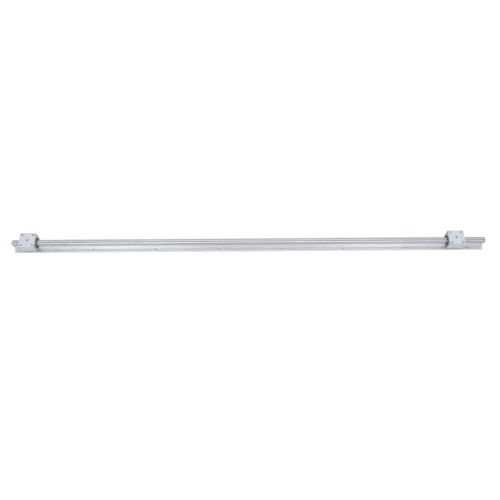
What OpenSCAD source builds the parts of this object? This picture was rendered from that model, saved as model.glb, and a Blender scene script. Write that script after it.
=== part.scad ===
// Supported round rail: a hardened 20 mm shaft on an extruded aluminium support,
// with two open linear-bearing blocks that slide along it.
// X runs along the rail, Y across it, Z up. The origin is under the middle of the base.

/* [Shaft] */
// Diameter of the shaft
shaft_d = 20; // [16:1:25]
// Length of the shaft
shaft_len = 1500; // [600:50:2000]
// Chamfer on each end of the shaft
shaft_chamfer = 1; // [0.5:0.1:2]

/* [Support] */
// Height of the shaft's axis above the underside of the base
axis_h = 27; // [26:0.5:34]
// How far the shaft stands out past each end of the support
shaft_overhang = 1; // [0.5:0.5:20]
// Width of the base
base_w = 45; // [42:1:60]
// Thickness of the base's flanges
flange_t = 5; // [3:0.5:6]
// Rounding on the outer edges of the flanges
flange_round = 0.8; // [0.2:0.1:1.2]
// Width of the web where it cradles the shaft
web_top_w = 9; // [7:0.5:9.5]
// Slope of each side of the web, from upright
web_slope = 25; // [18:1:27]
// Fillet at the foot of the web
foot_fillet = 1.5; // [0.5:0.25:2]
// Width of the channel in the underside, for the screw heads
channel_w = 11; // [10.6:0.1:12]
// Depth of the channel in the underside
channel_depth = 8; // [7:0.5:9]
// Radial gap between the shaft and its cradle
cradle_gap = 0.05; // [0.02:0.01:0.1]

/* [Base holes] */
// Diameter of the mounting holes in the flanges
base_hole_d = 5.5; // [4.5:0.1:6]
// Distance between the two rows of mounting holes
base_hole_rows = 30; // [30:0.5:34]
// Spacing of the holes along the rail
hole_pitch = 200; // [150:10:250]
// Least distance from the last hole to the end of the support
hole_end_min = 40; // [25:5:60]

/* [Shaft screws] */
// Diameter of the screws that hold the shaft
shaft_screw_d = 6; // [5:0.5:6]
// Length of the screws under their heads
shaft_screw_len = 16; // [14:1:18]
// Diameter of the screw heads
screw_head_d = 10; // [9:0.1:10]
// Height of the screw heads
screw_head_h = 6; // [4:0.5:6]
// Width across the flats of the hexagon sockets in the heads
screw_socket = 5; // [4:0.5:5]
// Radial gap round each screw in the web
screw_gap = 0.3; // [0.2:0.1:0.5]
// Radial gap round each screw in the shaft, in place of its thread
thread_gap = 0.05; // [0.03:0.01:0.1]
// Depth of the tapped holes in the shaft
shaft_hole_depth = 9.5; // [9:0.5:12]

/* [Block] */
// Length of a block along the rail
block_len = 50; // [48:1:60]
// Width of a block
block_w = 48; // [46:1:60]
// Height of a block's top face above the shaft's axis
block_top = 23; // [22:0.5:28]
// Depth of a block's underside below the shaft's axis
block_bottom = 16; // [14:0.5:17]
// Depth of the wide head of the block, where its bolt holes are
head_t = 11; // [8:0.5:13]
// How far the lower walls stand in from the head
wall_step = 1; // [0.5:0.25:2]
// Bevel along the top edges
top_bevel = 0.8; // [0.3:0.1:1.5]
// Bevel across the top edges of the ends
end_bevel = 0.6; // [0.3:0.1:1]
// Bevel along the bottom edges
bottom_bevel = 5; // [3:0.5:6]
// Angle of the opening in the underside, which clears the web
opening_angle = 60; // [56:1:64]
// Diameter of the tapped bolt holes in the top
block_hole_d = 5; // [4:0.1:5.2]
// Depth of the bolt holes
block_hole_depth = 12; // [8:0.5:13]
// Spacing of the bolt holes along and across the rail
block_hole_span = 35; // [34:0.5:36]
// Depth of the countersink at the mouth of each tapped hole
mouth_depth = 0.4; // [0.1:0.1:0.5]
// Distance of the left block's middle from the middle of the rail
left_block_at = 697; // [200:1:700]
// Distance of the right block's middle from the middle of the rail
right_block_at = 653; // [200:1:700]

/* [Bushing] */
// Outer diameter of the bushing
bushing_d = 32; // [31:0.5:33]
// Length of the bushing
bushing_len = 42; // [38:1:44]
// Radial gap between the bushing and its bore
bushing_gap = 0.02; // [0.01:0.01:0.05]
// Diameter at the floor of the bushing's two ring grooves
ring_groove_d = 30.5; // [30:0.1:30.8]
// Width of the bushing's ring grooves
ring_groove_w = 1.6; // [1.2:0.1:2]
// Distance over the outer edges of the ring grooves
ring_groove_span = 30.5; // [26:0.5:32]
// Diameter of the bearing balls
ball_d = 3.175; // [3:0.025:3.2]
// Gap between a load ball and each of the faces that it runs between
ball_gap = 0.05; // [0.02:0.01:0.08]
// Least space between neighbouring balls
ball_space = 0.06; // [0.04:0.01:0.2]
// Radial gap round the balls in their track
track_gap = 0.1; // [0.05:0.01:0.12]
// How much further out the returning balls run, which keeps the turning ones off the shaft
return_lift = 0.9; // [0.85:0.05:1]
// Number of ball circuits
circuit_count = 4; // [3:1:4]
// Angle from one circuit's middle to the next
circuit_pitch = 71; // [66:1:72]
// Angle between a circuit's load row and return row
row_angle = 26; // [24:0.5:27]
// Length of the straight rows
row_len = 24; // [18:1:25]
// Width of the raceway land under each load row
land_w = 3.4; // [3:0.1:4]
// Gap between the ball retainer and its neighbours
retainer_gap = 0.35; // [0.2:0.05:0.4]
// How far the ball retainer stands in from the ends of the sleeve
retainer_inset = 1; // [0.5:0.1:1.5]

/* [Retaining rings] */
// Thickness of the retaining rings that hold the bushing
ring_t = 1.2; // [1:0.05:1.5]
// Radial depth of the rings' grooves in the block
ring_seat = 0.85; // [0.5:0.05:1]
// Radial width of a retaining ring
ring_w = 2.5; // [2:0.1:3]
// Gap between a ring and the walls of its groove
ring_gap = 0.05; // [0.03:0.01:0.1]
// Angle left open between the ends of a ring
ring_opening = 70; // [66:1:80]
// Diameter of the lugs at the ends of a ring
ring_lug_d = 5; // [4:0.1:5.4]
// Diameter of the holes in the lugs
ring_lug_hole_d = 2; // [1.5:0.1:2.5]

/* [End seals] */
// Space between an end seal and the groove of the retaining ring behind it
seal_space = 0.2; // [0.1:0.05:0.4]
// How far a seal's face stands in from the end of the block
seal_inset = 0.3; // [0.2:0.1:0.6]
// Radial gap round a seal in the mouth of the bore
seal_gap = 0.05; // [0.02:0.01:0.1]
// Width of the raised rim round a seal's face
seal_rim = 1.6; // [1:0.1:2.5]
// Depth of a seal's face inside the rim
seal_dish = 0.5; // [0.3:0.1:0.6]
// Radial gap between a seal's lip and the shaft
lip_gap = 0.12; // [0.05:0.01:0.3]
// Thickness of a seal's lip
lip_t = 0.6; // [0.4:0.1:1]

/* [Set screws] */
// Diameter of the two set screws in a block
set_screw_d = 5; // [4:0.5:5]
// Length of the set screws
set_screw_len = 5; // [4:0.5:5.5]
// Width across the flats of their hexagon sockets
set_socket = 2.5; // [2:0.5:2.5]
// Depth of their hexagon sockets
set_socket_depth = 2.5; // [1.5:0.5:3]

/* [Hidden] */
$fn = 64;
// A little more than enough, for cuts that run past a face.
over = 1;
shaft_r = shaft_d / 2;
support_len = shaft_len - 2 * shaft_overhang;
pair_count = 1 + floor((support_len - 2 * hole_end_min) / hole_pitch);
hole_xs = [for (i = [0 : pair_count - 1]) (i - (pair_count - 1) / 2) * hole_pitch];

cradle_r = shaft_r + cradle_gap;
// Height at which the sides of the web meet the cradle
web_top_z = axis_h - sqrt(pow(cradle_r, 2) - pow(web_top_w / 2, 2));
foot_half = web_top_w / 2 + (web_top_z - flange_t) * tan(web_slope);
tip_angle = 118;

wall_half = block_w / 2 - wall_step;
set_hole_d = set_screw_d + 2 * thread_gap;
bushing_r = bushing_d / 2;
bore_r = bushing_r + bushing_gap;
ring_seat_r = bore_r + ring_seat;
seal_t = (block_len - bushing_len) / 2 - seal_inset - seal_space - ring_t - 2 * ring_gap;
load_r = shaft_r + ball_gap + ball_d / 2;
return_r = load_r + return_lift;
land_r = load_r + ball_d / 2 + ball_gap;
relief_r = return_r + ball_d / 2 + track_gap + ball_gap;
track_r = ball_d / 2 + track_gap;
retainer_in_r = shaft_r + retainer_gap;
retainer_out_r = relief_r - retainer_gap;
retainer_len = bushing_len - 2 * retainer_inset;

// Middle of a circuit, between its rows: across, outward, half the distance between the rows, and tilt
circuit_y = (return_r - load_r) / 2 * sin(row_angle / 2);
circuit_z = (return_r + load_r) / 2 * cos(row_angle / 2);
row_dy = (return_r + load_r) * sin(row_angle / 2);
row_dz = (return_r - load_r) * cos(row_angle / 2);
row_half = norm([row_dy, row_dz]) / 2;
row_tilt = atan2(row_dz, row_dy);
turn_len = PI * row_half;
loop_len = 2 * (row_len + turn_len);
// Distance along the track that keeps neighbouring balls apart in its turns
ball_pitch = row_half * 2 * asin((ball_d + ball_space) / 2 / row_half) * PI / 180;
ball_count = floor(loop_len / ball_pitch);
circuit_angles = [for (i = [0 : circuit_count - 1]) (i - (circuit_count - 1) / 2) * circuit_pitch];

SIDES = ["left", "right"];
BLOCK_PIECES = [
    "housing", "bearing_sleeve", "ball_retainer", "bearing_balls", "seal_1", "seal_2",
    "retaining_ring_1", "retaining_ring_2", "locating_screw", "adjusting_screw"
];

// Points along an arc, from angle a to angle b
function arc(centre, r, a, b, steps = 6) =
    [for (i = [0 : steps]) centre + r * [cos(a + (b - a) * i / steps), sin(a + (b - a) * i / steps)]];

// Left-hand half of a symmetric outline, in the order that closes it
function mirrored(points) =
    [for (i = [len(points) - 1 : -1 : 0]) [-points[i][0], points[i][1]]];

// Where a ball sits, a distance s round its circuit, in the circuit's own plane
function circuit_point(s) =
    s < row_len ? [s - row_len / 2, -row_half]
    : s < row_len + turn_len ? turn_point(s - row_len)
    : s < 2 * row_len + turn_len ? [row_len * 1.5 + turn_len - s, row_half]
    : -turn_point(s - 2 * row_len - turn_len);
function turn_point(s) =
    [row_len / 2 + row_half * sin(s / row_half * 180 / PI), -row_half * cos(s / row_half * 180 / PI)];

// Runs a section, drawn as (across, up), a length along the rail from the middle
module along_rail(length) {
    translate([-length / 2, 0, 0])
        rotate([90, 0, 90])
        linear_extrude(height = length)
        children();
}

// A drilled hole from the face at z = 0 down, with its countersunk mouth and, if blind, the drill's tip
module drilled_hole(d, depth, mouth, blind = true) {
    tip = blind ? d / 2 / tan(tip_angle / 2) : 0;
    rotate_extrude()
        polygon([
            [0, -depth - tip],
            [d / 2, -depth],
            [d / 2, -mouth],
            [d / 2 + mouth + over, over],
            [0, over]
        ]);
}

// A hexagon socket from the face at z = 0 down
module hex_socket(across_flats, depth) {
    translate([0, 0, -depth])
        cylinder(d = across_flats / cos(30), h = depth + over, $fn = 6);
}

// The wedge that the open underside leaves round the web, about the shaft's axis
module opening_wedge(angle) {
    reach = 2 * bushing_d;
    polygon([[0, 0], [reach * tan(angle / 2), -reach], [-reach * tan(angle / 2), -reach]]);
}

module support_rail() {
    fillet_run = foot_fillet * (1 - sin(web_slope)) / cos(web_slope);
    half_outline = concat(
        [[channel_w / 2, channel_depth], [channel_w / 2, 0]],
        arc([base_w / 2 - flange_round, flange_round], flange_round, -90, 0),
        arc([base_w / 2 - flange_round, flange_t - flange_round], flange_round, 0, 90),
        arc([foot_half + fillet_run, flange_t + foot_fillet], foot_fillet, 270, 180 + web_slope),
        [[web_top_w / 2, web_top_z], [web_top_w / 4, web_top_z + over]]
    );
    color("#d3d6d9")
        difference() {
            along_rail(support_len)
                difference() {
                    polygon(concat(half_outline, mirrored(half_outline)));
                    translate([0, axis_h])
                        circle(r = cradle_r);
                }
            for (x = hole_xs) {
                for (y = [-base_hole_rows / 2, base_hole_rows / 2])
                    translate([x, y, -over])
                        cylinder(d = base_hole_d, h = flange_t + 2 * over);
                translate([x, 0, channel_depth - over])
                    cylinder(d = shaft_screw_d + 2 * screw_gap, h = axis_h - channel_depth);
            }
        }
}

module shaft() {
    color("#c6c8ca")
        difference() {
            translate([0, 0, axis_h])
                rotate([0, 90, 0])
                rotate_extrude()
                polygon([
                    [0, -shaft_len / 2],
                    [shaft_r - shaft_chamfer, -shaft_len / 2],
                    [shaft_r, shaft_chamfer - shaft_len / 2],
                    [shaft_r, shaft_len / 2 - shaft_chamfer],
                    [shaft_r - shaft_chamfer, shaft_len / 2],
                    [0, shaft_len / 2]
                ]);
            for (x = hole_xs)
                translate([x, 0, axis_h - shaft_r])
                    mirror([0, 0, 1])
                    drilled_hole(shaft_screw_d + 2 * thread_gap, shaft_hole_depth, mouth_depth);
        }
}

// Socket-head screw that comes up through the channel and holds the shaft down
module shaft_screw(i) {
    color("#3c3c40")
        translate([hole_xs[i - 1], 0, channel_depth])
        difference() {
            union() {
                cylinder(d = shaft_screw_d, h = shaft_screw_len);
                translate([0, 0, -screw_head_h])
                    cylinder(d = screw_head_d, h = screw_head_h);
            }
            translate([0, 0, -screw_head_h])
                mirror([0, 0, 1])
                hex_socket(screw_socket, screw_head_h / 2);
        }
}

// The block's extruded section, about the shaft's axis
module housing_section() {
    half = block_w / 2;
    shoulder = block_top - head_t;
    half_outline = [
        [wall_half - bottom_bevel, -block_bottom],
        [wall_half, bottom_bevel - block_bottom],
        [wall_half, shoulder - wall_step],
        [half, shoulder],
        [half, block_top - top_bevel],
        [half - top_bevel, block_top]
    ];
    difference() {
        polygon(concat(half_outline, mirrored(half_outline)));
        circle(r = bore_r);
        opening_wedge(opening_angle);
    }
}

// What the bevel takes off the top edge of the end at +X, drawn as (along, up)
module end_edge() {
    x = block_len / 2;
    translate([0, block_w / 2 + over, 0])
        rotate([90, 0, 0])
        linear_extrude(height = block_w + 2 * over)
        polygon([
            [x - end_bevel - over, block_top + over],
            [x + over, block_top - end_bevel - over],
            [x + over, block_top + over]
        ]);
}

module housing() {
    color("#bfc7cf")
        difference() {
            along_rail(block_len)
                housing_section();
            for (end = [-1, 1])
                translate([end * (bushing_len / 2 + ring_gap + ring_t / 2), 0, 0])
                    along_rail(ring_t + 2 * ring_gap)
                    circle(r = ring_seat_r);
            for (turn = [0, 180])
                rotate([0, 0, turn])
                    end_edge();
            for (x = [-1, 1], y = [-1, 1])
                translate([x * block_hole_span / 2, y * block_hole_span / 2, block_top])
                    drilled_hole(block_hole_d, block_hole_depth, mouth_depth);
            translate([0, 0, block_top])
                drilled_hole(set_hole_d, block_top, mouth_depth, blind = false);
            translate([0, wall_half, 0])
                rotate([-90, 0, 0])
                drilled_hole(set_hole_d, wall_half, mouth_depth, blind = false);
        }
}

// A set screw that stands on the bushing, along +Z from the shaft's axis
module set_screw() {
    color("#303034")
        translate([0, 0, bushing_r + bushing_gap])
        difference() {
            cylinder(d = set_screw_d, h = set_screw_len);
            translate([0, 0, set_screw_len])
                hex_socket(set_socket, set_socket_depth);
        }
}

module locating_screw() {
    set_screw();
}

module adjusting_screw() {
    rotate([-90, 0, 0])
        set_screw();
}

// Steel outer sleeve of the bushing: a raceway land inside for each load row,
// relieved between them, with its two ring grooves outside
module bearing_sleeve() {
    color("#9ea1a5")
        difference() {
            along_rail(bushing_len)
                difference() {
                    circle(r = bushing_r);
                    difference() {
                        circle(r = relief_r);
                        for (angle = circuit_angles)
                            rotate(angle + row_angle / 2)
                            difference() {
                                translate([-land_w / 2, 0])
                                    square([land_w, bushing_r]);
                                circle(r = land_r);
                            }
                    }
                    circle(r = land_r);
                    opening_wedge(opening_angle);
                }
            for (end = [-1, 1])
                translate([end * (ring_groove_span - ring_groove_w) / 2, 0, 0])
                    along_rail(ring_groove_w)
                    difference() {
                        circle(r = bushing_r + over);
                        circle(d = ring_groove_d);
                    }
        }
}

// Puts its children in the plane of one ball circuit, with X along the rail
module in_circuit(angle) {
    rotate([angle, 0, 0])
        translate([0, circuit_y, circuit_z])
        rotate([row_tilt, 0, 0])
        children();
}

// The track that one circuit's balls run round
module ball_track() {
    for (side = [-1, 1])
        translate([-row_len / 2, side * row_half, 0])
            rotate([0, 90, 0])
            cylinder(r = track_r, h = row_len);
    for (turn = [0, 180])
        rotate([0, 0, turn])
            translate([row_len / 2, 0, 0])
            rotate([0, 0, -90])
            rotate_extrude(angle = 180)
            translate([row_half, 0])
            circle(r = track_r);
}

// Moulded retainer that guides the balls round their circuits
module ball_retainer() {
    slot_w = land_w + 2 * track_gap;
    color("#e6e2d6")
        difference() {
            along_rail(retainer_len)
                difference() {
                    circle(r = retainer_out_r);
                    circle(r = retainer_in_r);
                    opening_wedge(opening_angle);
                    for (angle = circuit_angles)
                        rotate(angle + row_angle / 2)
                        translate([-slot_w / 2, land_r - 2 * track_gap])
                        square([slot_w, bushing_r]);
                }
            for (angle = circuit_angles)
                in_circuit(angle)
                ball_track();
        }
}

module bearing_balls() {
    color("#b9bcc0")
        for (angle = circuit_angles, i = [0 : ball_count - 1])
            in_circuit(angle)
            translate(concat(circuit_point(i * loop_len / ball_count), 0))
            sphere(d = ball_d);
}

// Rubber end seal in the mouth of the bore, with a rim, a dished face and a lip round the shaft
module seal() {
    seal_r = bore_r - seal_gap;
    lip_r = shaft_r + lip_gap;
    face = seal_t - seal_dish;
    color("#1b1b1d")
        difference() {
            translate([block_len / 2 - seal_inset - seal_t, 0, 0])
                rotate([0, 90, 0])
                rotate_extrude()
                polygon([
                    [lip_r + lip_t, 0],
                    [seal_r, 0],
                    [seal_r, seal_t],
                    [seal_r - seal_rim, seal_t],
                    [seal_r - seal_rim - seal_dish, face],
                    [lip_r + 2 * lip_t, face],
                    [lip_r, face + lip_t / 2],
                    [lip_r, face - lip_t / 2]
                ]);
            along_rail(2 * block_len)
                opening_wedge(opening_angle);
        }
}

// Spring ring in the block's groove, open at the bottom, with a lug at each end
module retaining_ring() {
    out_r = ring_seat_r - 2 * ring_gap;
    lug_angle = ring_opening / 2 + asin(ring_lug_d / 2 / (out_r - ring_w));
    color("#29292c")
        translate([bushing_len / 2 + ring_gap + ring_t / 2, 0, 0])
        along_rail(ring_t)
        difference() {
            union() {
                difference() {
                    circle(r = out_r);
                    circle(r = out_r - ring_w);
                    opening_wedge(ring_opening);
                }
                for (side = [-1, 1])
                    rotate(side * lug_angle)
                    translate([0, -out_r + ring_lug_d / 2 + ring_seat])
                    circle(d = ring_lug_d);
            }
            for (side = [-1, 1])
                rotate(side * lug_angle)
                translate([0, -out_r + ring_lug_d / 2 + ring_seat])
                circle(d = ring_lug_hole_d);
        }
}

// Puts a block's piece, drawn about the shaft's axis, where its block stands
module on_block(side) {
    translate([side == "left" ? -left_block_at : right_block_at, 0, axis_h])
        children();
}

support_rail();
shaft();
for (i = [1 : pair_count]) {
    shaft_screw(i);
}
for (side = SIDES) {
    on_block(side) housing();
    on_block(side) bearing_sleeve();
    on_block(side) ball_retainer();
    on_block(side) bearing_balls();
    on_block(side) mirror([1, 0, 0]) seal();
    on_block(side) seal();
    on_block(side) mirror([1, 0, 0]) retaining_ring();
    on_block(side) retaining_ring();
    on_block(side) locating_screw();
    on_block(side) adjusting_screw();
}
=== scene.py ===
# Supported round rail: a ground shaft on an extruded aluminium support, with two open
# ball-bushing blocks. Lengths are in metres; X runs along the rail, Y across it, Z up.
from math import cos, pi, radians, sin

import bpy
from mathutils import Matrix, Vector


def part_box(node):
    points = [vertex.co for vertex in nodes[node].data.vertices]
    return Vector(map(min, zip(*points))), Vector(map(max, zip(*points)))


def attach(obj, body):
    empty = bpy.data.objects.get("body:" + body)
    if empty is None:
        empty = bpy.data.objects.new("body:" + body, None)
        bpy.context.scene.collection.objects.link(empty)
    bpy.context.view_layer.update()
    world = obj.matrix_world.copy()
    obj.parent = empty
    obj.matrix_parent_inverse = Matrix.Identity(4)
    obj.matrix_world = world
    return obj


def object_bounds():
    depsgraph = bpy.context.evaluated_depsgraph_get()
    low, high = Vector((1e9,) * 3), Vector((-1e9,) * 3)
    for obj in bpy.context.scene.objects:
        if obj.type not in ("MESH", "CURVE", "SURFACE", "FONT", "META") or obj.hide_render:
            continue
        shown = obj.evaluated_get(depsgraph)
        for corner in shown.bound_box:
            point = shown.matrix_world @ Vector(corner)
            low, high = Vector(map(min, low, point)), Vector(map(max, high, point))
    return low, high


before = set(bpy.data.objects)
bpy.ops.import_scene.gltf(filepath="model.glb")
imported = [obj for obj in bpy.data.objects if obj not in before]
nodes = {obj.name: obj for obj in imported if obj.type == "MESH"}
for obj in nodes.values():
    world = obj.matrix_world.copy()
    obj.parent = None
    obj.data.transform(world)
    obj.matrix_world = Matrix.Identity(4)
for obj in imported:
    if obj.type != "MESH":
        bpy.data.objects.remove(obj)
cad_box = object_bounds()
scene = bpy.context.scene


# --- Camera ---------------------------------------------------------------------------------
# It looks down on the rail from the front, a little from the left and slightly rolled.
# The rail lies just above the middle of the view.
CAMERA_DISTANCE = 1.8
CAMERA_TURN = radians(2.09)
CAMERA_HEIGHT = radians(64.42)
CAMERA_ROLL = radians(1.49)
CAMERA_LENS = 40.77
VIEW_OFFSET = 0.0268  # how far below the shaft the lens points

shaft_low, shaft_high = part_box("shaft")
shaft_middle = (shaft_low + shaft_high) / 2
sight = Vector(
    (
        sin(CAMERA_TURN) * cos(CAMERA_HEIGHT),
        cos(CAMERA_TURN) * cos(CAMERA_HEIGHT),
        -sin(CAMERA_HEIGHT),
    )
)
level = Vector((cos(CAMERA_TURN), -sin(CAMERA_TURN), 0))
view_down = Matrix.Rotation(-CAMERA_ROLL, 3, sight) @ sight.cross(level)
camera_data = bpy.data.cameras.new("studio_camera")
camera_data.lens = CAMERA_LENS
camera_data.sensor_width = 36
camera = bpy.data.objects.new("studio_camera", camera_data)
scene.collection.objects.link(camera)
camera.location = shaft_middle - sight * CAMERA_DISTANCE
backward = (camera.location - shaft_middle - view_down * VIEW_OFFSET).normalized()
rightward = (-view_down).cross(backward).normalized()
camera.rotation_mode = "QUATERNION"
camera.rotation_quaternion = (
    Matrix((rightward, backward.cross(rightward), backward)).transposed().to_quaternion()
)
scene.camera = camera
scene.view_settings.view_transform = "Standard"


# --- Support rail ---------------------------------------------------------------------------
# One length of extruded aluminium, natural, with the fine lengthwise lines that the die leaves,
# the smudges of handling, and ends cut with a circular saw. It is screwed up into the shaft.
ALUMINIUM = (0.72, 0.725, 0.74, 1)
ALUMINIUM_LIGHT = (0.79, 0.795, 0.81, 1)
ALUMINIUM_SAWN = (0.76, 0.765, 0.78, 1)
ALUMINIUM_HANDLED = (0.68, 0.69, 0.71, 1)
ALUMINIUM_RUBBED = (0.87, 0.875, 0.885, 1)
DIE_LINE_DEPTH = 0.00001


def put(tree, kind, inputs=(), **settings):
    """Adds a node. Settings are its properties; inputs are its sockets, each a value or a link."""
    made = tree.nodes.new(kind)
    for name, value in settings.items():
        setattr(made, name, value)
    for name, value in dict(inputs).items():
        if isinstance(value, bpy.types.NodeSocket):
            tree.links.new(value, made.inputs[name])
        else:
            made.inputs[name].default_value = value
    return made


def new_group(name, kind, takes, gives):
    """Starts a node group and returns it with its inputs and outputs."""
    tree = bpy.data.node_groups.new(name, kind)
    for label, (socket, value) in takes.items():
        made = tree.interface.new_socket(label, in_out="INPUT", socket_type=socket)
        if value is not None:
            made.default_value = value
    for label, socket in gives.items():
        tree.interface.new_socket(label, in_out="OUTPUT", socket_type=socket)
    return tree, put(tree, "NodeGroupInput").outputs, put(tree, "NodeGroupOutput").inputs


def spread(tree, value, low, high, start=0.0, end=1.0):
    """Maps a value from start..end to low..high."""
    sockets = {"Value": value, "From Min": start, "From Max": end, "To Min": low, "To Max": high}
    return put(tree, "ShaderNodeMapRange", sockets).outputs["Result"]


def mixed(tree, share, first, second):
    """One colour over another, by share."""
    made = put(tree, "ShaderNodeMix", {0: share, 6: first, 7: second}, data_type="RGBA")
    return made.outputs[2]


def worked(tree, how, first, second):
    """Arithmetic on two values."""
    return put(tree, "ShaderNodeMath", {0: first, 1: second}, operation=how).outputs[0]


# Lines that a die, a grinding wheel or a cutter leaves: noise drawn out along one direction.
tool_marks, takes, gives = new_group(
    "tool_marks",
    "ShaderNodeTree",
    {
        "Place": ("NodeSocketVector", None),
        "Closeness": ("NodeSocketVector", (1, 1, 1)),
        "Detail": ("NodeSocketFloat", 3.0),
    },
    {"Marks": "NodeSocketFloat"},
)
drawn_out = put(
    tool_marks,
    "ShaderNodeVectorMath",
    {0: takes["Place"], 1: takes["Closeness"]},
    operation="MULTIPLY",
).outputs[0]
lines = put(
    tool_marks, "ShaderNodeTexNoise", {"Vector": drawn_out, "Scale": 1, "Detail": takes["Detail"]}
)
tool_marks.links.new(spread(tool_marks, lines.outputs[0], 0, 1, 0.3, 0.7), gives["Marks"])

# Soft cloudy smudges of handling and of uneven finishing.
smudges, takes, gives = new_group(
    "smudges",
    "ShaderNodeTree",
    {
        "Place": ("NodeSocketVector", None),
        "Size": ("NodeSocketFloat", 0.05),
        "Seed": ("NodeSocketFloat", 0.0),
    },
    {"Smudge": "NodeSocketFloat"},
)
cloud = put(
    smudges,
    "ShaderNodeTexNoise",
    {
        "Vector": takes["Place"],
        "W": takes["Seed"],
        "Scale": worked(smudges, "DIVIDE", 1, takes["Size"]),
        "Detail": 4,
        "Roughness": 0.55,
    },
    noise_dimensions="4D",
)
smudges.links.new(spread(smudges, cloud.outputs[0], 0, 1, 0.32, 0.68), gives["Smudge"])

# Edges rounded off and rubbed brighter: where the rounded normal leaves the flat one.
worn_edges, takes, gives = new_group(
    "worn_edges",
    "ShaderNodeTree",
    {"Radius": ("NodeSocketFloat", 0.0003)},
    {"Edge": "NodeSocketFloat", "Rounded": "NodeSocketVector"},
)
rounded = put(worn_edges, "ShaderNodeBevel", {"Radius": takes["Radius"]}, samples=4).outputs[0]
flat = put(worn_edges, "ShaderNodeNewGeometry").outputs["Normal"]
agreement = put(
    worn_edges, "ShaderNodeVectorMath", {0: rounded, 1: flat}, operation="DOT_PRODUCT"
).outputs["Value"]
worn_edges.links.new(spread(worn_edges, agreement, 1, 0, 0.88, 0.995), gives["Edge"])
worn_edges.links.new(rounded, gives["Rounded"])


def effect(tree, group, **inputs):
    """Places one of the effects in a material and returns its outputs."""
    made = put(tree, "ShaderNodeGroup", node_tree=group)
    for label, value in inputs.items():
        if isinstance(value, bpy.types.NodeSocket):
            tree.links.new(value, made.inputs[label])
        else:
            made.inputs[label].default_value = value
    return made.outputs


def new_finish(name, **constants):
    """A material with its shader's constants set, its coordinates, and the way the face points."""
    finish = bpy.data.materials.new(name)
    finish.use_nodes = True
    tree = finish.node_tree
    shader = tree.nodes["Principled BSDF"].inputs
    for label, value in constants.items():
        shader[label.replace("_", " ")].default_value = value
    where = put(tree, "ShaderNodeTexCoord").outputs
    facing = put(tree, "ShaderNodeSeparateXYZ", {0: where["Normal"]}).outputs
    return finish, tree, shader, where["Object"], facing


def end_faces(tree, facing):
    """1 on faces that look along the rail, 0 elsewhere."""
    along = worked(tree, "ABSOLUTE", facing["X"], 0)
    return spread(tree, along, 0, 1, 0.9, 0.95)


def set_surface(tree, shader, colour, roughness, height, depth, rounded=None):
    """Feeds a finish's colour, roughness and bump to its shader."""
    inputs = {"Height": height, "Distance": depth}
    if rounded is not None:
        inputs["Normal"] = rounded
    tree.links.new(colour, shader["Base Color"])
    tree.links.new(roughness, shader["Roughness"])
    tree.links.new(put(tree, "ShaderNodeBump", inputs).outputs[0], shader["Normal"])


def dress(finish, *names):
    """Gives CAD nodes a finish."""
    for name in names:
        nodes[name].data.materials.clear()
        nodes[name].data.materials.append(finish)


finish, tree, shader, place, facing = new_finish(
    "extruded_aluminium", Metallic=0.8, Anisotropic=0.8
)
coarse = effect(tree, tool_marks, Place=place, Closeness=(2, 700, 700))["Marks"]
fine = effect(tree, tool_marks, Place=place, Closeness=(12, 5000, 5000))["Marks"]
sawn = effect(tree, tool_marks, Place=place, Closeness=(1, 60, 2600))["Marks"]
cloudy = effect(tree, smudges, Place=place, Size=0.09, Seed=2.0)["Smudge"]
edge = effect(tree, worn_edges, Radius=0.00035)
ends = end_faces(tree, facing)
colour = mixed(tree, coarse, ALUMINIUM, ALUMINIUM_LIGHT)
colour = mixed(tree, spread(tree, cloudy, 0, 0.3), colour, ALUMINIUM_HANDLED)
colour = mixed(tree, ends, colour, ALUMINIUM_SAWN)
colour = mixed(tree, spread(tree, edge["Edge"], 0, 0.6), colour, ALUMINIUM_RUBBED)
rough = worked(tree, "ADD", spread(tree, cloudy, 0.44, 0.52), spread(tree, fine, -0.03, 0.03))
marks = put(tree, "ShaderNodeMix", {0: ends, 2: worked(tree, "ADD", coarse, fine), 3: sawn})
set_surface(
    tree, shader, colour, rough, marks.outputs[0], DIE_LINE_DEPTH, edge["Rounded"]
)
across = put(tree, "ShaderNodeTangent", direction_type="RADIAL", axis="X")
tree.links.new(across.outputs[0], shader["Tangent"])
dress(finish, "support_rail")


# --- Shaft ----------------------------------------------------------------------------------
# Case-hardened steel, centreless ground and polished: very fine lines round it, a faint long
# waviness from the wheel, and turned, chamfered ends.
STEEL = (0.486, 0.499, 0.521, 1)
STEEL_LIGHT = (0.524, 0.537, 0.556, 1)
STEEL_DULL = (0.464, 0.475, 0.497, 1)
STEEL_RUBBED = (0.7, 0.71, 0.73, 1)
GRINDING_DEPTH = 0.0000001

finish, tree, shader, place, facing = new_finish(
    "ground_steel", Metallic=1.0, Anisotropic=0.85, Anisotropic_Rotation=0.25
)
ground = effect(tree, tool_marks, Place=place, Closeness=(6000, 40, 40))["Marks"]
waves = effect(tree, tool_marks, Place=place, Closeness=(9, 12, 12), Detail=1.0)["Marks"]
cloudy = effect(tree, smudges, Place=place, Size=0.2, Seed=5.0)["Smudge"]
edge = effect(tree, worn_edges, Radius=0.0003)
from_axis = put(
    tree, "ShaderNodeVectorMath", {0: place, 1: (0, 0, shaft_middle.z)}, operation="SUBTRACT"
).outputs[0]
outwards = put(
    tree, "ShaderNodeVectorMath", {0: from_axis, 1: (0, 1, 1)}, operation="MULTIPLY"
).outputs[0]
radius = put(tree, "ShaderNodeVectorMath", {0: outwards}, operation="LENGTH").outputs["Value"]
rings = put(tree, "ShaderNodeTexNoise", {"W": radius, "Scale": 5000}, noise_dimensions="1D")
ends = end_faces(tree, facing)
colour = mixed(tree, waves, STEEL, STEEL_LIGHT)
colour = mixed(tree, spread(tree, cloudy, 0, 0.25), colour, STEEL_DULL)
colour = mixed(tree, spread(tree, edge["Edge"], 0, 0.6), colour, STEEL_RUBBED)
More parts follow.
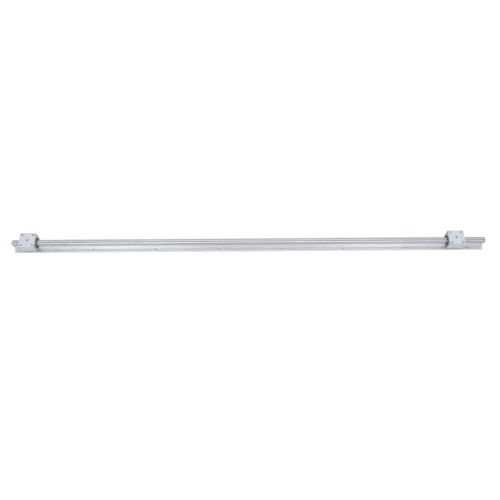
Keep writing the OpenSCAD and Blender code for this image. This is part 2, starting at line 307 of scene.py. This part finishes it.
rough = worked(tree, "ADD", spread(tree, cloudy, 0.34, 0.36), spread(tree, ends, 0, 0.1))
marks = put(tree, "ShaderNodeMix", {0: ends, 2: ground, 3: rings.outputs[0]})
set_surface(tree, shader, colour, rough, marks.outputs[0], GRINDING_DEPTH)
around = put(tree, "ShaderNodeTangent", direction_type="RADIAL", axis="X")
tree.links.new(around.outputs[0], shader["Tangent"])
dress(finish, "shaft")


# --- Shaft screws ---------------------------------------------------------------------------
# Eight socket-head screws of blackened steel, up from the channel in the base into the shaft.
# Their heads are knurled; each knurl is one small ridge, repeated round the head.
BLACKENED = (0.022, 0.022, 0.025, 1)
BLACKENED_WORN = (0.045, 0.045, 0.05, 1)
BLACKENED_RUBBED = (0.3, 0.3, 0.31, 1)
KNURL_RIDGES = 44
KNURL_RADIUS = 0.0001
KNURL_LENGTH = 0.0048
KNURL_MIDDLE = 0.003  # above the underside of the head

finish, tree, shader, place, facing = new_finish("blackened_steel", Metallic=0.35)
grain = effect(tree, tool_marks, Place=place, Closeness=(3000, 3000, 3000))["Marks"]
worn = effect(tree, smudges, Place=place, Size=0.004, Seed=1.0)["Smudge"]
edge = effect(tree, worn_edges, Radius=0.0002)
colour = mixed(tree, worn, BLACKENED, BLACKENED_WORN)
colour = mixed(tree, spread(tree, edge["Edge"], 0, 0.35), colour, BLACKENED_RUBBED)
set_surface(
    tree, shader, colour, spread(tree, worn, 0.36, 0.5), grain, 0.000006, edge["Rounded"]
)
blackened_steel = finish
shaft_screws = sorted(name for name in nodes if name.startswith("shaft_screw"))
dress(finish, *shaft_screws)


def grown(name, points, group, inputs, finish, outward=None):
    """Runs a Geometry Nodes tree on a few points and returns the result as a plain mesh object."""
    start = bpy.data.meshes.new(name + "_points")
    start.from_pydata([tuple(p) for p in points], [], [])
    if outward:
        stored = start.attributes.new("outward", "FLOAT_VECTOR", "POINT")
        for value, direction in zip(stored.data, outward):
            value.vector = direction
    seed = bpy.data.objects.new(name + "_points", start)
    scene.collection.objects.link(seed)
    modifier = seed.modifiers.new(name, "NODES")
    modifier.node_group = group
    for item in group.interface.items_tree:
        if item.in_out == "INPUT" and item.name in inputs:
            modifier[item.identifier] = inputs[item.name]
    seen = seed.evaluated_get(bpy.context.evaluated_depsgraph_get())
    mesh = bpy.data.meshes.new_from_object(seen)
    mesh.name = name
    seed.modifiers.clear()
    bpy.data.objects.remove(seed)
    piece = bpy.data.objects.new(name, mesh)
    scene.collection.objects.link(piece)
    mesh.materials.clear()
    mesh.materials.append(finish)
    return piece


def close_tree(tree, instances, finish, outputs):
    """Ends a tree: the instances made real, and their material set."""
    real = put(tree, "GeometryNodeRealizeInstances", {0: instances}).outputs[0]
    done = put(tree, "GeometryNodeSetMaterial", {"Geometry": real, "Material": finish})
    tree.links.new(done.outputs[0], outputs[0])


knurled_heads, takes, gives = new_group(
    "knurled_heads",
    "GeometryNodeTree",
    {
        "Geometry": ("NodeSocketGeometry", None),
        "Head Radius": ("NodeSocketFloat", 0.005),
        "Ridges": ("NodeSocketInt", 40),
        "Ridge Radius": ("NodeSocketFloat", 0.0001),
        "Ridge Length": ("NodeSocketFloat", 0.005),
    },
    {"Geometry": "NodeSocketGeometry"},
)
ridge = put(
    knurled_heads,
    "GeometryNodeMeshCylinder",
    {"Vertices": 6, "Radius": takes["Ridge Radius"], "Depth": takes["Ridge Length"]},
).outputs["Mesh"]
rim = put(
    knurled_heads,
    "GeometryNodeMeshCircle",
    {"Vertices": takes["Ridges"], "Radius": takes["Head Radius"]},
).outputs[0]
one_head = put(
    knurled_heads, "GeometryNodeInstanceOnPoints", {"Points": rim, "Instance": ridge}
).outputs[0]
all_heads = put(
    knurled_heads,
    "GeometryNodeInstanceOnPoints",
    {"Points": takes["Geometry"], "Instance": one_head},
).outputs[0]
close_tree(knurled_heads, all_heads, blackened_steel, gives)

head_middles = []
for name in shaft_screws:
    low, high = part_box(name)
    middle = (low + high) / 2
    head_middles.append((middle.x, middle.y, low.z + KNURL_MIDDLE))
low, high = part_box(shaft_screws[0])
knurls = grown(
    "shaft_screw_knurls",
    head_middles,
    knurled_heads,
    {
        "Head Radius": (high.x - low.x) / 2,
        "Ridges": KNURL_RIDGES,
        "Ridge Radius": KNURL_RADIUS,
        "Ridge Length": KNURL_LENGTH,
    },
    blackened_steel,
)
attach(knurls, "rail")


# --- Block housings -------------------------------------------------------------------------
# Extruded aluminium blocks, fine blasted and clear anodised to a pale bluish satin. Their ends
# are face milled after extrusion, and four tapped holes and two set-screw holes go in last.
# The end faces are also coloured darker: painted shade.
ANODISED = (0.555, 0.58, 0.617, 1)
ANODISED_LIGHT = (0.695, 0.725, 0.768, 1)
# Painted shade: the darker colour that the end faces get.
ANODISED_END_SHADE = (0.455, 0.462, 0.475, 1)
ANODISED_DULL = (0.57, 0.595, 0.63, 1)
ANODISED_RUBBED = (0.74, 0.75, 0.77, 1)
BLASTING_DEPTH = 0.000015

finish, tree, shader, place, facing = new_finish("anodised_aluminium", Metallic=1.0)
blast = effect(tree, tool_marks, Place=place, Closeness=(2600, 2600, 2600), Detail=2.0)["Marks"]
mottle = effect(tree, tool_marks, Place=place, Closeness=(800, 800, 800), Detail=6.0)["Marks"]
cloudy = effect(tree, smudges, Place=place, Size=0.02, Seed=9.0)["Smudge"]
milled = effect(tree, tool_marks, Place=place, Closeness=(1, 1600, 90))["Marks"]
edge = effect(tree, worn_edges, Radius=0.0004)
ends = end_faces(tree, facing)
speckle = put(tree, "ShaderNodeMix", {0: 0.4, 2: mottle, 3: blast}).outputs[0]
colour = mixed(tree, speckle, ANODISED, ANODISED_LIGHT)
colour = mixed(tree, spread(tree, cloudy, 0, 0.3), colour, ANODISED_DULL)
# The end faces are coloured darker, which is painted shade; their milling shows only in the
# roughness and marks.
colour = mixed(tree, ends, colour, ANODISED_END_SHADE)
colour = mixed(tree, spread(tree, edge["Edge"], 0, 0.25), colour, ANODISED_RUBBED)
rough = worked(tree, "ADD", spread(tree, blast, 0.5, 0.6), spread(tree, ends, 0, -0.1))
marks = put(tree, "ShaderNodeMix", {0: ends, 2: blast, 3: milled})
set_surface(
    tree, shader, colour, rough, marks.outputs[0], BLASTING_DEPTH, edge["Rounded"]
)
dress(finish, "left_housing", "right_housing")
anodised_aluminium = finish


# --- Threads of the tapped holes ------------------------------------------------------------
# M6 threads in the four bolt holes and M5 threads above the two set screws of each block.
# Each is one V-shaped ridge that winds down the wall of its hole.
BOLT_HOLE_SPAN = 0.035
BOLT_HOLE_RADIUS = 0.0025
BOLT_THREAD_PITCH = 0.001
BOLT_THREAD_LENGTH = 0.0105
BOLT_THREAD_RIDGE = 0.0003
SET_HOLE_RADIUS = 0.00255
SET_THREAD_PITCH = 0.0008
SET_THREAD_RIDGE = 0.00025
THREAD_START = 0.0006  # below the countersunk mouth

threads, takes, gives = new_group(
    "threads",
    "GeometryNodeTree",
    {
        "Geometry": ("NodeSocketGeometry", None),
        "Hole Radius": ("NodeSocketFloat", 0.0025),
        "Pitch": ("NodeSocketFloat", 0.001),
        "Length": ("NodeSocketFloat", 0.01),
        "Ridge": ("NodeSocketFloat", 0.0003),
    },
    {"Geometry": "NodeSocketGeometry"},
)
turns = put(
    threads, "ShaderNodeMath", {0: takes["Length"], 1: takes["Pitch"]}, operation="DIVIDE"
).outputs[0]
winding = put(
    threads,
    "GeometryNodeCurveSpiral",
    {
        "Resolution": 28,
        "Rotations": turns,
        "Start Radius": takes["Hole Radius"],
        "End Radius": takes["Hole Radius"],
        "Height": takes["Length"],
    },
).outputs[0]
upright = put(threads, "GeometryNodeSetCurveNormal", {"Curve": winding}, mode="Z_UP").outputs[0]
vee = put(
    threads, "GeometryNodeCurvePrimitiveCircle", {"Resolution": 4, "Radius": takes["Ridge"]}
).outputs[0]
ridge = put(
    threads,
    "GeometryNodeCurveToMesh",
    {"Curve": upright, "Profile Curve": vee, "Fill Caps": True},
).outputs[0]
downward = put(
    threads, "ShaderNodeMath", {0: takes["Length"], 1: -1}, operation="MULTIPLY"
).outputs[0]
drop = put(threads, "ShaderNodeCombineXYZ", {"Z": downward}).outputs[0]
hung = put(
    threads, "GeometryNodeTransform", {"Geometry": ridge, "Translation": drop}
).outputs[0]
outward = put(
    threads, "GeometryNodeInputNamedAttribute", {"Name": "outward"}, data_type="FLOAT_VECTOR"
).outputs[0]
turned = put(threads, "FunctionNodeAlignRotationToVector", {"Vector": outward}, axis="Z")
in_place = put(
    threads,
    "GeometryNodeInstanceOnPoints",
    {"Points": takes["Geometry"], "Instance": hung, "Rotation": turned.outputs[0]},
).outputs[0]
close_tree(threads, in_place, anodised_aluminium, gives)

for side in ("left", "right"):
    low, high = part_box(side + "_housing")
    middle = (low + high) / 2
    bolt_holes = [
        (middle.x + x * BOLT_HOLE_SPAN / 2, y * BOLT_HOLE_SPAN / 2, high.z - THREAD_START)
        for x in (-1, 1)
        for y in (-1, 1)
    ]
    piece = grown(
        side + "_bolt_hole_threads",
        bolt_holes,
        threads,
        {
            "Hole Radius": BOLT_HOLE_RADIUS,
            "Pitch": BOLT_THREAD_PITCH,
            "Length": BOLT_THREAD_LENGTH,
            "Ridge": BOLT_THREAD_RIDGE,
        },
        anodised_aluminium,
        outward=[(0, 0, 1)] * 4,
    )
    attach(piece, side + "_block")

    top_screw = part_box(side + "_locating_screw")[1].z
    side_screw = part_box(side + "_adjusting_screw")[1].y
    wall = side_screw + high.z - top_screw
    piece = grown(
        side + "_set_hole_threads",
        [(middle.x, 0, high.z - THREAD_START), (middle.x, wall - THREAD_START, shaft_middle.z)],
        threads,
        {
            "Hole Radius": SET_HOLE_RADIUS,
            "Pitch": SET_THREAD_PITCH,
            "Length": high.z - top_screw - THREAD_START,
            "Ridge": SET_THREAD_RIDGE,
        },
        anodised_aluminium,
        outward=[(0, 0, 1), (0, 1, 0)],
    )
    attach(piece, side + "_block")


# --- Set screws -----------------------------------------------------------------------------
# Headless hexagon-socket screws of blackened steel, one in the top that locates the bushing
# and one in the back that sets its clearance.
for side in ("left", "right"):
    dress(blackened_steel, side + "_locating_screw", side + "_adjusting_screw")


# --- Bushings -------------------------------------------------------------------------------
# A hard steel sleeve with four raceways, the balls that run round in it, and the moulded
# retainer that guides them.
BEARING_STEEL = (0.36, 0.37, 0.385, 1)
BEARING_STEEL_OILY = (0.46, 0.47, 0.48, 1)
RETAINER_SHADED = (0.74, 0.71, 0.62, 1)
RETAINER_PALE = (0.8, 0.78, 0.71, 1)

finish, tree, shader, place, facing = new_finish("bearing_steel", Metallic=1.0)
ground = effect(tree, tool_marks, Place=place, Closeness=(5000, 60, 60))["Marks"]
oily = effect(tree, smudges, Place=place, Size=0.006, Seed=7.0)["Smudge"]
colour = mixed(tree, oily, BEARING_STEEL, BEARING_STEEL_OILY)
set_surface(tree, shader, colour, spread(tree, oily, 0.14, 0.28), ground, 0.000002)
for side in ("left", "right"):
    dress(finish, side + "_bearing_sleeve", side + "_bearing_balls")

finish, tree, shader, place, facing = new_finish("retainer_plastic", IOR=1.48)
grain = effect(tree, tool_marks, Place=place, Closeness=(2200, 2200, 2200))["Marks"]
cloudy = effect(tree, smudges, Place=place, Size=0.008, Seed=3.0)["Smudge"]
colour = mixed(tree, cloudy, RETAINER_SHADED, RETAINER_PALE)
set_surface(tree, shader, colour, spread(tree, grain, 0.38, 0.5), grain, 0.000008)
dress(finish, "left_ball_retainer", "right_ball_retainer")


# --- End seals and retaining rings ----------------------------------------------------------
# Moulded black rubber seals in the mouths of the bore, and behind them the phosphated spring
# rings that hold the bushing.
RUBBER = (0.012, 0.012, 0.013, 1)
RUBBER_DUSTY = (0.026, 0.026, 0.028, 1)
RUBBER_RUBBED = (0.06, 0.06, 0.063, 1)
PHOSPHATED = (0.02, 0.02, 0.022, 1)
PHOSPHATED_OILY = (0.045, 0.045, 0.047, 1)

finish, tree, shader, place, facing = new_finish("seal_rubber", IOR=1.5, Specular_IOR_Level=0.4)
grain = effect(tree, tool_marks, Place=place, Closeness=(3500, 3500, 3500), Detail=4.0)["Marks"]
dusty = effect(tree, smudges, Place=place, Size=0.005, Seed=6.0)["Smudge"]
edge = effect(tree, worn_edges, Radius=0.0002)
colour = mixed(tree, dusty, RUBBER, RUBBER_DUSTY)
colour = mixed(tree, spread(tree, edge["Edge"], 0, 0.5), colour, RUBBER_RUBBED)
set_surface(
    tree, shader, colour, spread(tree, dusty, 0.42, 0.62), grain, 0.00001, edge["Rounded"]
)
dress(finish, *(f"{side}_seal_{n}" for side in ("left", "right") for n in (1, 2)))

finish, tree, shader, place, facing = new_finish("phosphated_steel", Metallic=0.3)
grain = effect(tree, tool_marks, Place=place, Closeness=(4500, 4500, 4500))["Marks"]
oily = effect(tree, smudges, Place=place, Size=0.004, Seed=8.0)["Smudge"]
colour = mixed(tree, oily, PHOSPHATED, PHOSPHATED_OILY)
set_surface(tree, shader, colour, spread(tree, grain, 0.45, 0.65), grain, 0.000008)
dress(finish, *(f"{side}_retaining_ring_{n}" for side in ("left", "right") for n in (1, 2)))


# --- Floor and studio light -----------------------------------------------------------------
# A wide white floor under a white room. What the camera and the metal see of both is plain
# white; the floor still takes the rail's soft shadow. Under the base's outline it gets no
# white: painted shade there, seen through the base's holes.
FLOOR_HALF = 9.0
FLOOR_GAP = 0.0002  # between the base and the floor
FLOOR_WHITE = (0.76, 0.765, 0.77, 1)
FLOOR_SHINE = 0.86  # how white the floor is where it is seen directly
FLOOR_MATT = 0.3  # how much of the floor's own shade is left there
FLOOR_IN_METAL = 0.35
SEEN_WHITE = (1, 1, 1, 1)
ROOM_LIGHT = 0.74


def seen_directly(tree, by_gloss=1.0):
    """1 for rays from the camera or through something clear, by_gloss for a gloss, else 0."""
    path = put(tree, "ShaderNodeLightPath").outputs
    gloss = worked(tree, "MULTIPLY", path["Is Glossy Ray"], by_gloss)
    seen = worked(tree, "MAXIMUM", path["Is Camera Ray"], gloss)
    return worked(tree, "MAXIMUM", seen, path["Is Transmission Ray"])


mesh = bpy.data.meshes.new("floor")
corners = [(x * FLOOR_HALF, y * FLOOR_HALF) for x, y in ((-1, -1), (1, -1), (1, 1), (-1, 1))]
mesh.from_pydata([(x, y, cad_box[0].z - FLOOR_GAP) for x, y in corners], [], [(0, 1, 2, 3)])
floor = bpy.data.objects.new("floor", mesh)
scene.collection.objects.link(floor)
paper = bpy.data.materials.new("floor_paper")
paper.use_nodes = True
tree = paper.node_tree
tree.nodes.clear()
seen = seen_directly(tree, FLOOR_IN_METAL)
where = put(tree, "ShaderNodeTexCoord").outputs["Object"]
from_rail = put(tree, "ShaderNodeVectorMath", {0: where}, operation="ABSOLUTE").outputs[0]
past_rail = put(tree, "ShaderNodeSeparateXYZ", {0: from_rail}).outputs
base_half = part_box("support_rail")[1]
# 1 past the base's outline; under it the floor loses its white, as painted shade.
clear = worked(
    tree,
    "MAXIMUM",
    worked(tree, "GREATER_THAN", past_rail["X"], base_half.x),
    worked(tree, "GREATER_THAN", past_rail["Y"], base_half.y),
)
white_except_painted_shade = worked(tree, "MULTIPLY", seen, clear)
shade = mixed(tree, spread(tree, white_except_painted_shade, 1, FLOOR_MATT), (0, 0, 0, 1), FLOOR_WHITE)
matt = put(tree, "ShaderNodeBsdfDiffuse", {"Color": shade})
shine = spread(tree, white_except_painted_shade, 0, FLOOR_SHINE)
white = put(tree, "ShaderNodeEmission", {"Color": SEEN_WHITE, "Strength": shine})
both = put(tree, "ShaderNodeAddShader", {0: matt.outputs[0], 1: white.outputs[0]}).outputs[0]
put(tree, "ShaderNodeOutputMaterial", {"Surface": both})
mesh.materials.append(paper)

world = bpy.data.worlds.new("white_room")
scene.world = world
world.use_nodes = True
tree = world.node_tree
tree.nodes.clear()
room = put(tree, "ShaderNodeBackground", {"Color": (0.97, 0.985, 1, 1), "Strength": ROOM_LIGHT})
# Metal sees the room darker in front, most of all low down, and darker off both ends.
towards = put(tree, "ShaderNodeTexCoord").outputs["Generated"]
towards = put(tree, "ShaderNodeSeparateXYZ", {0: towards}).outputs
in_front = spread(tree, towards["Y"], 0, 1, 0.15, -0.1)
dimming = worked(tree, "MULTIPLY", in_front, spread(tree, towards["Z"], 0.5, 0.3, 0.3, 0.5))
front = worked(tree, "SUBTRACT", 1, dimming)
sideways = spread(tree, worked(tree, "ABSOLUTE", towards["X"], 0), 1, 0.55, 0.24, 0.42)
gloss = put(tree, "ShaderNodeLightPath").outputs["Is Glossy Ray"]
brightness = spread(tree, gloss, 1, worked(tree, "MULTIPLY", front, sideways))
white = put(tree, "ShaderNodeBackground", {"Color": SEEN_WHITE, "Strength": brightness})
blend = put(
    tree,
    "ShaderNodeMixShader",
    {0: seen_directly(tree), 1: room.outputs[0], 2: white.outputs[0]},
).outputs[0]
put(tree, "ShaderNodeOutputWorld", {"Surface": blend})


def softbox(name, place, aim, width, height, radiance):
    """A flat lamp that faces a point."""
    lamp = bpy.data.lights.new(name, "AREA")
    lamp.shape = "RECTANGLE"
    lamp.size, lamp.size_y = width, height
    lamp.energy = radiance * pi * width * height
    holder = bpy.data.objects.new(name, lamp)
    scene.collection.objects.link(holder)
    holder.location = place
    holder.rotation_euler = (Vector(aim) - Vector(place)).to_track_quat("-Z", "Y").to_euler()
    holder.visible_camera = False


softbox("front_strip", (0, -1.03, 1.3), (0, 0, 0), 3.4, 0.3, 2.85)
softbox("back_softbox", (0, 0.8, 1.55), (0, 0, 0), 3.4, 0.9, 1.05)
softbox("left_lamp", (-0.74, -1.25, 0.8), (-0.44, 0, 0.02), 0.26, 1.3, 3.7)
softbox("right_lamp", (0.75, -1.25, 0.8), (0.43, 0, 0.02), 0.18, 1.3, 4.1)
